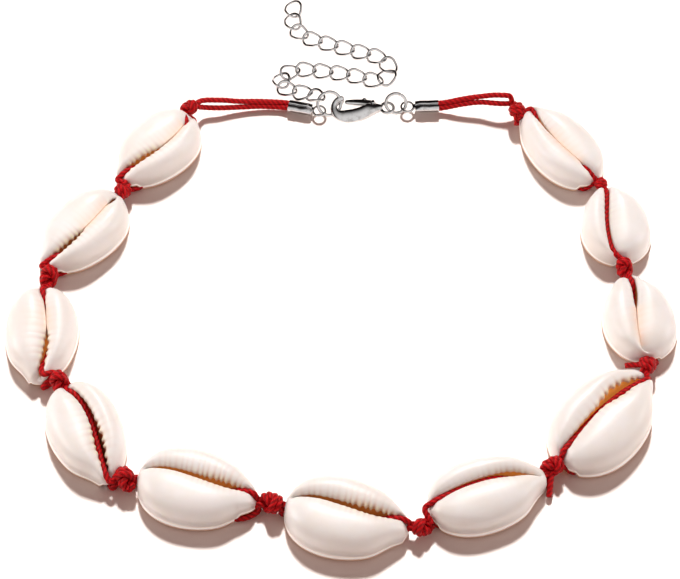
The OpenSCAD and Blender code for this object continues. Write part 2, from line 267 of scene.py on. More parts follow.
def makePorcelain():
    look = porcelainLook
    material, tree, shader = newMaterial("cowriePorcelain")
    hollow, gap, cut, hollowLight = readTones(tree, "shellTone")
    ribLine, toothTip, crease, rim = readTones(tree, "lipTone")
    clouds = objectNoise(tree, 140, 3)
    base = mixColors(tree, remap(tree, clouds, 0.38, 0.66), look["cream"], look["pale"])
    patches = objectNoise(tree, 70, 2)
    base = mixColors(tree, remap(tree, patches, 0.5, 0.75, 0, 0.45), base, look["blush"])
    for tone, color in ((rim, "rim"), (ribLine, "ribLine"), (toothTip, "toothTip"), (crease, "crease"),
                        (gap, "gap"), (cut, "cutEdgeGlow")):
        base = mixColors(tree, tone, base, look[color])
    # The slit's inside: painted glow near the lip and painted shade deeper in, as strong as the shell's
    # inside light
    outside = mixColors(tree, hollowLight, look["brown"], look["amberGlow"])
    inside = mixColors(tree, hollowLight, look["hollowShade"], look["brown"])
    base = mixColors(tree, remap(tree, hollow, 0.05, 0.45), base, outside)
    base = mixColors(tree, remap(tree, hollow, 0.5, 0.95), base, inside)
    tree.links.new(base, shader.inputs["Base Color"])
    tree.links.new(remap(tree, hollow, 0, 0.6, 0.42, 0.5), shader.inputs["Roughness"])
    shader.inputs["IOR"].default_value = 1.5
    shader.inputs["Coat Weight"].default_value, shader.inputs["Coat Roughness"].default_value = look["coat"]
    # Painted glow: emission on the slit's inside, the cut edge and the rim stands in for light through the
    # thin wall
    tree.links.new(mixColors(tree, rim, look["amberGlow"], look["rim"]), shader.inputs["Emission Color"])
    edges = tree.nodes.new("ShaderNodeMath")
    edges.operation = "MULTIPLY_ADD"
    tree.links.new(cut, edges.inputs[0])
    edges.inputs[1].default_value = 0.25
    tree.links.new(rim, edges.inputs[2])
    through = tree.nodes.new("ShaderNodeMath")
    through.operation = "MULTIPLY_ADD"
    tree.links.new(remap(tree, hollow, 0.1, 0.5), through.inputs[0])
    tree.links.new(hollowLight, through.inputs[1])
    tree.links.new(edges.outputs[0], through.inputs[2])
    glow = remap(tree, through.outputs[0], 0, 1, 0, look["glow"])
    tree.links.new(glow, shader.inputs["Emission Strength"])
    weight, reach = look["depth"]
    shader.inputs["Subsurface Weight"].default_value = weight
    shader.inputs["Subsurface Radius"].default_value = (1.0, 0.5, 0.3)
    shader.inputs["Subsurface Scale"].default_value = reach * mm
    addBump(tree, shader, objectNoise(tree, 900, 4), look["bump"], 0.3 * mm)
    return material


cottonLook = {
    "red": (0.49, 0.005, 0.009, 1),
    "shade": (0.20, 0.001, 0.003, 1),
    "lit": (0.82, 0.03, 0.03, 1),
    "roughness": 0.4,
    "specular": 0.2,
    "specularTint": (1.0, 0.4, 0.35, 1),
    "fuzzBump": 0.5,
}


def makeWaxedCotton():
    look = cottonLook
    material, tree, shader = newMaterial("waxedRedCotton")
    height = readTones(tree, "plyTone")[0]
    fuzz = objectNoise(tree, 2600, 4, 0.7)
    base = mixColors(tree, remap(tree, height, 0.15, 0.9), look["shade"], look["red"])
    base = mixColors(tree, remap(tree, fuzz, 0.45, 0.8, 0, 0.5), base, look["lit"])
    tree.links.new(base, shader.inputs["Base Color"])
    shader.inputs["Roughness"].default_value = look["roughness"]
    shader.inputs["Specular IOR Level"].default_value = look["specular"]
    shader.inputs["Specular Tint"].default_value = look["specularTint"]
    addBump(tree, shader, fuzz, look["fuzzBump"], 0.12 * mm)
    return material


platingLook = {
    "bright": (0.62, 0.62, 0.63, 1),
    "worn": (0.44, 0.43, 0.42, 1),
    "roughness": 0.08,
    "wornRoughness": 0.20,
    "bump": 0.08,
}


def makePlating():
    look = platingLook
    material, tree, shader = newMaterial("silverPlating")
    shader.inputs["Metallic"].default_value = 1.0
    wear = objectNoise(tree, 700, 4, 0.6)
    base = mixColors(tree, remap(tree, wear, 0.45, 0.75), look["bright"], look["worn"])
    tree.links.new(base, shader.inputs["Base Color"])
    dull = remap(tree, wear, 0.3, 0.8, look["roughness"], look["wornRoughness"])
    tree.links.new(dull, shader.inputs["Roughness"])
    addBump(tree, shader, objectNoise(tree, 1800, 3), look["bump"], 0.1 * mm)
    return material


porcelain = makePorcelain()
waxedCotton = makeWaxedCotton()
plating = makePlating()
print("materials made")


# Cowries

# Centre, heading of the front end, length, width and height in mm; half the slit's width and
# its offset toward the inside of the loop, each at five stations from the back to the front;
# the teeth's reach and pitch; how strong the ribs are on the inner and the outer half; how
# much painted light the slit's inside gets, as painted glow and painted shade; how far forward
# the floor under the slit goes; where the lower strand comes out from under the rim: front 1 or
# back -1, on the inner 1 or the outer side -1
cowrieColumns = ("x", "y", "heading", "long", "wide", "high", "slit", "offsets",
                 "tooth", "pitch", "ribs", "hollowLight", "shelf", "exit")
cowries = [dict(zip(cowrieColumns, row)) for row in (
    (-40.47, 26.86, 228, 22.6, 15.0, 6.9, (0.50, 0.0, 0.12, 0.60, 0.60), (0.9, 2.4, 2.1, 1.4, 0.3),
     0.46, 1.25, (0.3, 0.15), 0.5, 0.55, (1, 1)),
    (-55.27, 5.16, 229, 23.2, 15.2, 7.0, (0.46, 0.0, 0.0, 0.50, 0.55), (0.5, 1.4, 1.7, 1.75, 1.0),
     0.50, 1.3, (0.3, 0.2), 0.2, 0.55, (1, 1)),
    (-61.97, -20.44, 271, 22.4, 15.3, 6.8, (0.60, 0.15, 0.0, 0.45, 0.50), (0.2, 1.1, 1.5, 1.7, 0.9),
     0.42, 1.5, (0.2, 0.55), 0.6, 0.55, (1, 1)),
    (-50.87, -43.34, 296, 23.8, 15.0, 7.0, (0.65, 0.62, 0.66, 0.92, 0.60), (0.4, 1.5, 1.7, 0.9, 0.2),
     0.55, 1.6, (0.3, 0.35), 0.0, 0.80, (0, 0)),
    (-28.37, -55.74, 347, 24.4, 16.2, 7.0, (0.12, 0.32, 0.44, 0.62, 0.40), (1.6, 1.85, 1.45, 0.95, 1.0),
     0.26, 1.1, (0.6, 0.1), 0.45, 0.60, (1, -1)),
    (1.03, -62.04, 348, 24.8, 16.4, 7.2, (0.12, 0.36, 0.50, 0.70, 0.42), (1.65, 1.95, 1.4, 1.0, 1.3),
     0.34, 1.2, (0.4, 0.1), 0.3, 0.60, (0, 0)),
    (28.73, -56.74, 17, 24.6, 15.2, 7.0, (0.50, 0.42, 0.44, 0.62, 0.12), (0.9, 1.65, 1.9, 1.6, 0.6),
     0.12, 1.2, (0.12, 0.1), 0.6, 0.75, (-1, -1)),
    (53.03, -40.24, 46, 27.2, 17.8, 7.6, (0.60, 0.45, 0.44, 1.30, 0.80), (0.95, 1.5, 1.6, 1.6, 0.5),
     0.48, 1.75, (0.15, 0.1), 1.0, 0.85, (-1, -1)),
    (61.63, -16.04, 103, 20.0, 15.2, 6.8, (0.0, 0.0, 0.04, 0.48, 0.60), (2.2, 1.95, 0.8, -0.1, -0.8),
     0.05, 1.5, (0.1, 0.1), 0.3, 0.50, (0, 0)),
    (58.48, 7.16, 98, 19.0, 14.9, 6.8, (0.55, 0.46, 0.44, 0.48, 0.50), (2.4, 2.75, 1.95, 1.45, 0.5),
     0.10, 1.5, (0.1, 0.1), 0.4, 0.80, (0, 0)),
    (47.83, 27.86, 127, 23.6, 14.2, 6.8, (0.42, 0.0, 0.0, 0.20, 0.50), (0.5, 1.3, 1.45, 1.0, -0.2),
     0.12, 1.4, (0.2, 0.2), 0.6, 0.50, (-1, 1)),
)]
widthStations = (-1.0, -0.6, -0.1, 0.45, 0.9)
offsetStations = (-0.9, -0.5, 0.0, 0.45, 0.85)

# Height of the upper strand at the middle of each shell, whether it passes over (1) or
# under (0) the back tip and the front tip, how far it leans off the slit's middle toward the
# front, and where it leaves the slit
passes = [
    (1.0, 1, 1, 0, 1.1), (0.7, 0, 1, 0, 1.1), (1.0, 1, 1, 0, 0.8), (3.5, 1, 1, 0.35, 1.1),
    (0.7, 0, 1, 0, 1.1), (0.7, 0, 1, 0, 1.1), (4.6, 1, 0, 0.1, 1.1), (4.4, 1, 1, 0.4, 1.1),
    (0.7, 0, 1, 0, 1.1), (4.4, 1, 1, 0, 1.1), (1.0, 1, 1, 0, 1.1),
]

cowrieShape = {
    "around": 256,
    "crowding": 0.15,       # draws the stations toward the middle, where the teeth are
    "slitReach": 0.88,
    "taper": 0.15,
    "pinch": (0.12, 0.27),  # how much the inner and the outer side draw in before the front end
    "pinchAt": 0.86,
    "pinchWidth": (0.17, 0.24),
    "blunt": 0.12,
    "outerTeeth": 0.5,      # against the inner ones
    "closing": 0.075,       # how far the lips rise where the slit is shut
    "frontDrop": 0.40,
    "backDrop": 0.30,
    "canal": 0.30,          # depth of the channel where the upper strand passes over a tip
    "faintCanal": 0.10,     # and where it doesn't
    "tipLift": 1.5,
    "gate": (2.2, 1.9),     # half width of the raised rim at a tip, and more where a strand leaves
    "ribHeight": 0.13,
    "ribReach": (0.75, 0.55),
    "wave": 0.05,
}

# The wall's section from its rim over the top to the slit's lip and back inside: share of the
# way out from the lip, share of the height, and points spent before the next
wallSection = [
    (0.995, 0.075, 1), (0.995, 0.125, 1), (0.982, 0.17, 1), (0.955, 0.20, 1), (0.938, 0.26, 1),
    (0.94, 0.36, 1), (0.938, 0.47, 1), (0.912, 0.61, 1), (0.86, 0.74, 1), (0.765, 0.855, 2),
    (0.64, 0.94, 2), (0.50, 0.985, 2), (0.37, 1.0, 2), (0.25, 0.985, 2), (0.14, 0.95, 2),
    (0.065, 0.905, 2), (0.02, 0.86, 3), (0.0, 0.80, 3), (0.0, 0.71, 2), (-0.02, 0.60, 1),
    (-0.06, 0.49, 1), (-0.12, 0.39, 1), (-0.17, 0.30, 1), (-0.12, 0.245, 1), (0.15, 0.36, 1),
    (0.32, 0.56, 1), (0.46, 0.64, 1), (0.60, 0.58, 1), (0.69, 0.40, 1), (0.715, 0.20, 1),
    (0.71, 0.06, 1), (0.70, 0.0, 1), (0.80, 0.0, 1), (0.91, 0.0, 1), (0.97, 0.0, 1), (0.99, 0.025, 1),
]
# Rows of the section where these lie
rimRow, lipRow, floorRow, baseRow, cutRow = 2.1, 17, 23.5, 30.5, 35.5
outerRow = 8  # the ribs' lines run down to it


def sampleSection():
    corners = np.array([(row[0], row[1]) for row in wallSection])
    total = len(corners)
    rows = []
    for i, row in enumerate(wallSection):
        before, here, after, later = (corners[(i + k) % total] for k in (-1, 0, 1, 2))
        for step in range(row[2]):
            t = step / row[2]
            spot = 0.5 * (2 * here + (after - before) * t
                          + (2 * before - 5 * here + 4 * after - later) * t * t
                          + (3 * here - before - 3 * after + later) * t * t * t)
            rows.append((min(1.0, spot[0]), min(1.0, max(0.0, spot[1])), i + t))
    return np.array(rows)


section = sampleSection()


def slitMiddle(shell, u):
    return np.polyval(np.polyfit(offsetStations, shell["offsets"], 3), u)


def slitHalfWidth(shell, u):
    stations, widths = np.array(widthStations), np.array(shell["slit"])
    u = np.clip(u, stations[0], stations[-1])
    i = np.clip(np.searchsorted(stations, u, side="right") - 1, 0, len(stations) - 2)
    share = smoothStep((u - stations[i]) / (stations[i + 1] - stations[i]))
    return widths[i] + (widths[i + 1] - widths[i]) * share


def crownHeight(shell, u):
    shape = cowrieShape
    drop = np.where(u > 0, shape["frontDrop"] * np.abs(u) ** 3, shape["backDrop"] * np.abs(u) ** 4.5)
    return shell["high"] * (1 - drop)


def bell(value, middle, width):
    return np.exp(-((value - middle) / width) ** 2)


def rowBell(index, row, width):  # the same over the section's rows, which run in a ring
    total = len(wallSection)
    return bell((index - row + total / 2) % total, total / 2, width)


def sculptCowrie(shell, name, seed, overBack, overFront):
    shape = cowrieShape
    n, m = shape["around"], len(section)
    piece = addRing(n, m, 8, 3)
    piece.name = name
    half, wide = shell["long"] / 2, shell["wide"] / 2
    angle = np.arange(n) * 2 * math.pi / n
    angle = angle + shape["crowding"] * np.sin(2 * angle)
    u, v = np.cos(angle)[:, None], np.sin(angle)[:, None]
    side = np.sign(v)
    inner = v > 0  # the half toward the inside of the loop
    out, up, index = section[:, 0][None, :], section[:, 1][None, :], section[:, 2][None, :]

    shelf = smoothStep(v / 0.3) * smoothStep((u + 0.9) / 0.25) * smoothStep((shell["shelf"] - u) / 0.22)
    out = np.where(out < 0, out * shelf, out)  # only the inner half has a floor under the slit
    lipX = shape["slitReach"] * half * u
    gape = slitHalfWidth(shell, u)
    lipY = slitMiddle(shell, u) + np.clip(v * 2.5, -1, 1) * gape
    pinchWidth = np.where(inner, *shape["pinchWidth"])
    pinch = np.where(inner, *shape["pinch"]) * bell(u, shape["pinchAt"], pinchWidth)
    edgeX = half * u
    blunt = 1 - shape["blunt"] * smoothStep((u - 0.6) / 0.3)
    edgeY = wide * side * np.abs(v) ** blunt * (1 - shape["taper"] * u - pinch)
    end, flank = shell["exit"]
    gate, wider = shape["gate"]
    gateway = gate + wider * (v * flank > 0) * smoothStep((u * end - 0.3) / 0.3)
    low = shape["tipLift"] * smoothStep((gateway - np.abs(edgeY)) / 0.8)  # lets the lower strand through
    high = crownHeight(shell, u)
    canal = np.where(np.where(u > 0, overFront, overBack), shape["canal"], shape["faintCanal"])
    notch = 1 - canal * bell(v, 0, 0.2)
    opening = smoothStep((gape - 0.04) / 0.2)
    up = up + shape["closing"] * (1 - opening) * bell(index, lipRow, 1.5)
    x = lipX + (edgeX - lipX) * out
    y = lipY + (edgeY - lipY) * out
    z = low + (high * notch - low) * up

    # Teeth on the lips and ribs running out from them
    phase = lipX / shell["pitch"] + np.where(inner, 0.0, 0.45) + seed * 0.37
    wander = 0.12 * np.sin(lipX * 1.7 + seed)
    tooth = 0.5 + 0.5 * np.cos(2 * math.pi * (phase + wander))
    fade = 1 - smoothStep((np.abs(u) - 0.86) / 0.1)
    front = 0.25 + 0.75 * smoothStep((u + 0.3) / 0.6)
    bite = shell["tooth"] * front * fade * smoothStep((gape - 0.08) / 0.25)
    bite = bite * np.where(inner, 1, shape["outerTeeth"])
    y = y - side * bite * (tooth ** 1.3 - 0.45) * bell(index, lipRow + 0.2, 1.5)
    reach = np.where(inner, *shape["ribReach"])
    ribs = np.where(inner, *shell["ribs"]) * fade * (0.5 + 0.5 * smoothStep((u + 0.4) / 0.6))
    ribWeight = np.where(index <= lipRow + 0.5, np.clip(1 - out / reach, 0, 1) ** 0.7, 0)
    z = z + shape["ribHeight"] * ribs * (tooth - 0.55) * ribWeight * smoothStep(out / 0.03 + 0.4)

    # Slight waves so that no two are the same
    wave = shape["wave"] * (np.sin(x * 0.55 + seed * 2.1) * np.cos(y * 0.6 + seed) - 1) * up
    z = np.maximum(z + wave * smoothStep(up / 0.3), 0)
    z = np.where((index >= baseRow) & (index < baseRow + 4), low * np.ones_like(z), z)

    turn = math.radians(shell["heading"])
    worldX = shell["x"] + x * math.cos(turn) - y * math.sin(turn)
    worldY = shell["y"] + x * math.sin(turn) + y * math.cos(turn)
    movePoints(piece, np.stack([worldX, worldY, z], 2).reshape(-1, 3) * mm)

    lean = smoothStep(shell["tooth"] / 0.3)
    # The slit's inside gets painted shade deeper down and a painted glow near the lip
    hollow = smoothStep((index - lipRow + 0.3) / 1.2) * (index < baseRow) * opening
    hollow = hollow * (1 - 0.9 * lean * front * fade * tooth ** 1.2 * bell(index, lipRow, 1.4))
    hollow = hollow * np.where(index < floorRow, 0.5, 1.0)
    gap = 0.8 * (1 - tooth) ** 1.5 * bell(index, lipRow - 0.9, 1.8) * fade * front * lean * opening
    gap = gap * np.where(inner, 1.0, 0.5)
    # The base's cut edge, for a painted orange line and painted glow
    cut = rowBell(index, cutRow, 0.8)
    paintPoints(piece, "shellTone", hollow, gap, cut, shell["hollowLight"])
    ribLine = 0.7 * ribs * (1 - tooth) ** 3 * ribWeight * (index > outerRow)
    toothTip = 0.9 * lean * tooth ** 2 * bell(index, lipRow - 0.9, 1.5) * fade * front * opening
    crease = bell(index, lipRow, 3.0) * (1 - opening) * fade * (0.75 + 0.25 * (1 - tooth))
    # The base rim, for a painted highlight and painted glow
    rim = rowBell(index, rimRow, 0.9)
    paintPoints(piece, "lipTone", ribLine, toothTip, crease, rim)
    bpy.ops.object.shade_smooth()
    return piece


for number, shell in enumerate(cowries, 1):
    piece = sculptCowrie(shell, "cowrie%02d" % number, number, *passes[number - 1][1:3])
    dress(piece, porcelain, "shell", "necklace", "shell_%02d" % number)
print("cowries sculpted")


# Cord

# Centre of each knot in mm, how thick the doubled cord lies in it, which of its sides faces up
# and to the front, and the way that it runs where that isn't straight on
knots = [
    (-33.5, 37.0, 3.9, 1.0, 0, None),
    (-47.1, 15.3, 3.2, 1.15, 180, None),
    (-61.27, -6.54, 3.0, 1.25, 0, None),
    (-56.9, -32.5, 4.0, 1.25, 0, None),
    (-42.4, -54.0, 3.4, 1.22, 0, -70),
    (-13.77, -58.84, 2.8, 1.45, 180, None),
    (15.73, -63.94, 2.6, 1.15, 0, 0),
    (41.8, -50.9, 2.8, 1.25, 180, None),
    (62.5, -27.5, 2.9, 1.20, 0, None),
    (59.53, -4.24, 3.0, 1.10, 180, None),
    (56.03, 17.56, 2.7, 0.75, 0, None),
    (38.73, 36.7, 3.6, 1.20, 0, 100),
]

cordPlan = {
    "thickness": 1.26,
    "plies": 3,
    "lay": 3.3,             # length of one turn of a ply
    "plyDepth": 0.08,
    "sides": 15,
    "spacing": 0.16,
    "knotReach": 4.5,       # in thicknesses of the doubled cord, as the next two
    "knotLength": 16.0,
    "knotKept": 1.75,
    "knotPoints": 90,
    "knotRounds": 900,
    "pairGap": 0.36,        # half the way between the two strands in a knot
    "pairRun": 0.7,         # and in mm where both run under a shell
    "knotRoom": (3.0, 2.6),  # mm round a knot kept free of route points, by a shell and in a tail
    "stack": 50,            # degrees by which one of a tail's strands lies above the other
    # Middle of a tail's two strands from its knot to its sleeve, and how far apart they lie
    "leftTail": [(-31.23, 38.5, 3.3, 1.3), (-26.87, 39.18, 2.5, 1.75), (-22.48, 39.65, 1.8, 1.3),
                 (-18.05, 39.98, 1.5, 1.15), (-14.65, 39.9, 1.4, 1.12), (-12.24, 39.67, 1.4, 1.1),
                 (-10.48, 39.29, 1.4, 1.1)],
    "rightTail": [(37.22, 38.88, 4.4, 1.5), (35.07, 39.1, 4.3, 1.9), (30.72, 39.63, 3.6, 1.3),
                  (26.32, 39.5, 2.8, 1.15), (23.6, 39.42, 2.0, 1.12), (21.4, 39.34, 1.6, 1.1),
                  (20.43, 39.3, 1.6, 1.1)],
    # Where the first and the last knot look to
    "leftAim": (-12.0, 40.0),
    "rightAim": (22.0, 39.4),
}

# Points, in mm along and off a shell's axis and up, that lead its upper strand to its front knot
leads = {3: [(10.3, 1.35, 4.5), (11.4, 2.4, 4.4)]}
# Where a cut end sticks out of a knot
stubs = {8: (41.0, -56.6, 0.8), 9: (58.2, -27.0, 1.4), 12: (38.7, 33.6, 2.2)}


def tightenKnot():  # an overhand knot, 1 thick, drawn tight along x by a small rope solver
    plan = cordPlan
    count, reach = plan["knotPoints"], plan["knotReach"]
    s = np.linspace(-2.12, 2.12, count)
    rope = np.stack([s ** 3 - 3 * s, s ** 4 - 4 * s ** 2, s ** 5 / 5 - 2 * s], 1)
    axis = rope[-1] - rope[0]
    axis /= np.linalg.norm(axis)
    lift = np.array([0, 1.0, 0])
    rope = np.stack([rope @ axis, rope @ lift, rope @ np.cross(axis, lift)], 1)
    rope[:, 1:] -= rope[0, 1:]
    rope *= 1.1
    steps = np.arange(count)
    between = np.abs(steps[:, None] - steps[None, :])
    startLength = np.linalg.norm(np.diff(rope, axis=0), axis=1).sum()
    startEnds = rope[[0, -1]].copy()
    lastEnds = np.array([[-reach, 0, 0], [reach, 0, 0]])
    middle = np.sqrt(np.clip(np.sin(np.pi * steps / (count - 1)), 0, 1))
    rounds = plan["knotRounds"]
    for turn in range(rounds):
        pull = smoothStep(turn / (rounds * 0.7))
        rest = (startLength * (1 - pull) + plan["knotLength"] * pull) / (count - 1)
        apart = between >= max(3, math.ceil(1.5 / rest))
        ends = startEnds * (1 - pull) + lastEnds * pull
        for repeat in range(3):  # keeps its length
            rope[[0, -1]] = ends
            for parity in (0, 1):
                size = min(len(rope[parity:-1:2]), len(rope[parity + 1::2]))
                a = rope[parity:parity + 2 * size:2]
                b = rope[parity + 1:parity + 1 + 2 * size:2]
                fix = (b - a) * (1 - rest / np.linalg.norm(b - a, axis=1, keepdims=True)) * 0.5
                rope[parity:parity + 2 * size:2] += fix
                rope[parity + 1:parity + 1 + 2 * size:2] -= fix
        rope -= rope[count // 4:-(count // 4)].mean(0) * 0.05 * middle[:, None]
        rope[1:-1] += ((rope[:-2] + rope[2:]) / 2 - rope[1:-1]) * 0.1  # stays smooth
        for repeat in range(3):  # keeps off itself
            offsets = rope[:, None] - rope[None]
            far = np.linalg.norm(offsets, axis=2) + np.eye(count)
            push = np.where(apart & (far < 1), (1 - far) / far * 0.5, 0)
            hits = np.maximum((push > 0).sum(1), 1)
            rope = rope + (offsets * push[:, :, None]).sum(1) / hits[:, None] * 1.3
        rope[[0, -1]] = ends
    return rope


def doubleRope(rope):  # two strands side by side, lying flat on the knot
    along = np.gradient(rope, axis=0)
    along /= np.linalg.norm(along, axis=1)[:, None]
    out = rope - rope[np.abs(rope[:, 0]) < 2].mean(0)
    out[:, 0] *= 0.6
    side = np.cross(along, out)
    for i in range(1, len(side)):
        if side[i].dot(side[i - 1]) < 0:
            side[i:] *= -1
    for repeat in range(14):
        side[1:-1] = (side[:-2] + 2 * side[1:-1] + side[2:]) / 4
    side -= along * (side * along).sum(1)[:, None]
    side *= cordPlan["pairGap"] / np.linalg.norm(side, axis=1)[:, None]
    return np.stack([rope + side, rope - side])


knotRopes = doubleRope(tightenKnot())
print("knot tightened")


def unit(v):
    return v / np.linalg.norm(v)


def smoothPath(points):  # an even path through the points
    p = np.array([q for i, q in enumerate(points) if i == 0 or np.linalg.norm(q - points[i - 1]) > 1e-6])
    t = np.concatenate([[0], np.cumsum(np.linalg.norm(np.diff(p, axis=0), axis=1))])
    slope = np.gradient(p, t, axis=0, edge_order=1)
    fine = np.linspace(0, t[-1], max(8, int(t[-1] / 0.05)))
    i = np.clip(np.searchsorted(t, fine, side="right") - 1, 0, len(t) - 2)
    h = (t[i + 1] - t[i])[:, None]
    w = ((fine - t[i]) / h[:, 0])[:, None]
    curve = ((2 * w ** 3 - 3 * w ** 2 + 1) * p[i] + (w ** 3 - 2 * w ** 2 + w) * h * slope[i]
             + (-2 * w ** 3 + 3 * w ** 2) * p[i + 1] + (w ** 3 - w ** 2) * h * slope[i + 1])
    length = np.concatenate([[0], np.cumsum(np.linalg.norm(np.diff(curve, axis=0), axis=1))])
    even = np.linspace(0, length[-1], max(4, int(length[-1] / cordPlan["spacing"])))
    return np.stack([np.interp(even, length, curve[:, k]) for k in range(3)], 1)


def makeProfile():  # the cord's section, with a lobe for each ply
    plan = cordPlan
    bpy.ops.curve.primitive_bezier_circle_add(radius=1, location=(0, 0, 0))
    piece = bpy.context.object
    piece.name = "plyProfile"
    data = piece.data
    data.splines.clear()
    spline = data.splines.new("POLY")
    sides = plan["sides"]
    spline.points.add(sides - 1)
    radius = plan["thickness"] / 2 * mm
    for i in range(sides):
        angle = 2 * math.pi * i / sides
        r = radius * (1 - plan["plyDepth"] * (0.5 - 0.5 * math.cos(plan["plies"] * angle)))
        spline.points[i].co = (r * math.cos(angle), r * math.sin(angle), 0, 1)
    spline.use_cyclic_u = True
    return piece


profile = makeProfile()


def laidStrand(name, points):  # points in mm
    plan = cordPlan
    path = smoothPath(points)
    data = bpy.data.curves.new(name, "CURVE")
    data.dimensions = "3D"
    data.bevel_mode = "OBJECT"
    data.bevel_object = profile
    data.use_fill_caps = True
    data.twist_mode = "MINIMUM"
    spline = data.splines.new("POLY")
    spline.points.add(len(path) - 1)
    step = np.linalg.norm(np.diff(path, axis=0), axis=1).mean()
    path[:, 2] = np.maximum(path[:, 2], plan["thickness"] / 2 + 0.005)
    flat = np.concatenate([path * mm, np.ones((len(path), 1))], 1)
    spline.points.foreach_set("co", flat.ravel())
    tilt = np.arange(len(path)) * step / plan["lay"] * 2 * math.pi
    spline.points.foreach_set("tilt", tilt)
    piece = meshFrom(data)
    sides = plan["sides"]
    around = np.arange(len(piece.data.vertices)) % sides
    lobe = 0.5 + 0.5 * np.cos(plan["plies"] * 2 * math.pi * around / sides)
    paintPoints(piece, "plyTone", lobe, 0, 0, 1)
    bpy.ops.object.shade_smooth()
    return piece


def knotCentre(k):
    return np.array(knots[k - 1][:3])


def setDown(shell, x, y, z):
    turn = math.radians(shell["heading"])
    return np.array([shell["x"] + x * math.cos(turn) - y * math.sin(turn),
                     shell["y"] + x * math.sin(turn) + y * math.cos(turn), z])


def routesThrough(k):  # the upper and the lower strand through shell k, in mm
    shell = cowries[k - 1]
    mid, overBack, overFront, lean, leave = passes[k - 1]
    r = cordPlan["thickness"] / 2
    pair = cordPlan["pairRun"]
    under = r + 0.02
    channel = 1 - cowrieShape["canal"]
    backTop = float(crownHeight(shell, np.array(-0.95))) * channel + r * 0.9
    frontTop = float(crownHeight(shell, np.array(0.95))) * channel + r * 0.9
    back = backTop if overBack else under
    front = frontTop if overFront else under
    backIn = max(back + 0.3, mid) if overBack else back
    frontIn = max(front + 0.3, mid) if overFront else front
    half = shell["long"] / 2
    backSide, frontSide = (1 - overBack) * pair, (1 - overFront) * pair

    def lie(share):
        spot = np.array(np.clip(share / cowrieShape["slitReach"], -1, 1))
        return float(slitMiddle(shell, spot)) - lean * float(smoothStep((spot + 0.2) / 0.5))

    upper = [
        (-1.04, lie(-1) * 0.3 * overBack + backSide, back - 0.5 * overBack),
        (-0.92, lie(-0.92) * 0.8 * overBack + backSide, back),
        (-0.74, lie(-0.74) * overBack + backSide, back + (backIn - back) * 0.7),
        (-0.5, lie(-0.5), backIn + (mid - backIn) * 0.4),
        (-0.2, lie(-0.2), mid),
        (0.15, lie(0.15), mid),
        (0.5, lie(0.5), mid + (frontIn - mid) * 0.5),
        (0.74, lie(0.74) * overFront + frontSide, frontIn + (front - frontIn) * 0.4),
        (0.92, lie(0.92) * 0.8 * overFront + frontSide, front),
        (1.04, lie(1) * 0.3 * overFront + frontSide, front - 0.5 * overFront),
    ]
    upper = [row for row in upper if row[0] < leave]
    lower = [(-1.04, -backSide, under), (-0.85, -backSide, under), (-0.35, -pair, under),
             (0.35, -pair, under), (0.85, -frontSide, under), (1.04, -frontSide, under)]
    end, flank = shell["exit"]
    around = [(0.45, flank * 2.7, under), (0.72, flank * 3.6, under), (0.92, flank * 2.5, under),
              (1.03, flank * 1.1, under + 0.4)]
    if end > 0:
        lower[4:] = around
    elif end < 0:
        lower[:2] = [(-x, y, z) for x, y, z in reversed(around)]
    upper, lower = ([setDown(shell, x * half, y, z) for x, y, z in rows] for rows in (upper, lower))
    return upper + [setDown(shell, *spot) for spot in leads.get(k, [])], lower


def tailRoute(rows):
    whole = [np.array(row[:3]) for row in rows]
    stack = math.radians(cordPlan["stack"])
    lanes = []
    for side in (1, -1):
        lane = []
        for i, spot in enumerate(whole):
            along = unit(whole[min(i + 1, len(whole) - 1)] - whole[max(i - 1, 0)])
            behind = unit(np.array([-along[1], along[0], 0]) * np.sign(along[0]))
            tip = stack * min(1, (len(whole) - 1 - i) / 2)  # flat again in the sleeve
            across = behind * math.cos(tip) + np.array([0, 0, math.sin(tip)])
            lane.append(spot + side * rows[i][3] / 2 * across)
        lanes.append(lane)
    return lanes


def headingAt(k):  # the way the cord runs through knot k
    given = knots[k - 1][5]
    if given is not None:
        return np.array([math.cos(math.radians(given)), math.sin(math.radians(given)), 0])
    spots = [cordPlan["leftAim"], *(row[:2] for row in knots), cordPlan["rightAim"]]
    before, here, after = (np.array([*spot, 0]) for spot in spots[k - 1:k + 2])
    return unit(unit(here - before) + unit(after - here))


def knotLanes(k):  # the knot's two strands set down at knot k
    x, y, z, bulk, face = knots[k - 1][:5]
    ahead = headingAt(k)
    upward = np.array([0, 0, 1.0])
    sideways = np.cross(upward, ahead)
    front = np.array([0, -0.53, 0.85])  # toward the camera
    roll = math.radians(face - 90) + math.atan2(front.dot(upward), front.dot(sideways))
    c, s = math.cos(roll), math.sin(roll)
    lanes = []
    for rope in knotRopes:
        keep = np.abs(rope[:, 0]) < cordPlan["knotKept"]
        first, last = np.argmax(keep), len(keep) - np.argmax(keep[::-1])
        part = rope[first:last] * bulk
        turnY = part[:, 1] * c - part[:, 2] * s
        turnZ = part[:, 1] * s + part[:, 2] * c
        lanes.append(np.array([x, y, z]) + part[:, :1] * ahead + turnY[:, None] * sideways
                     + turnZ[:, None] * upward)
    if lanes[0][0][2] < lanes[1][0][2]:
        lanes.reverse()
    return lanes


allKnots = [None] + [knotLanes(k) for k in range(1, len(knots) + 1)]


def clearOf(points, k, room):
    centre = knotCentre(k)
    return [p for p in points if np.linalg.norm(p - centre) > room]


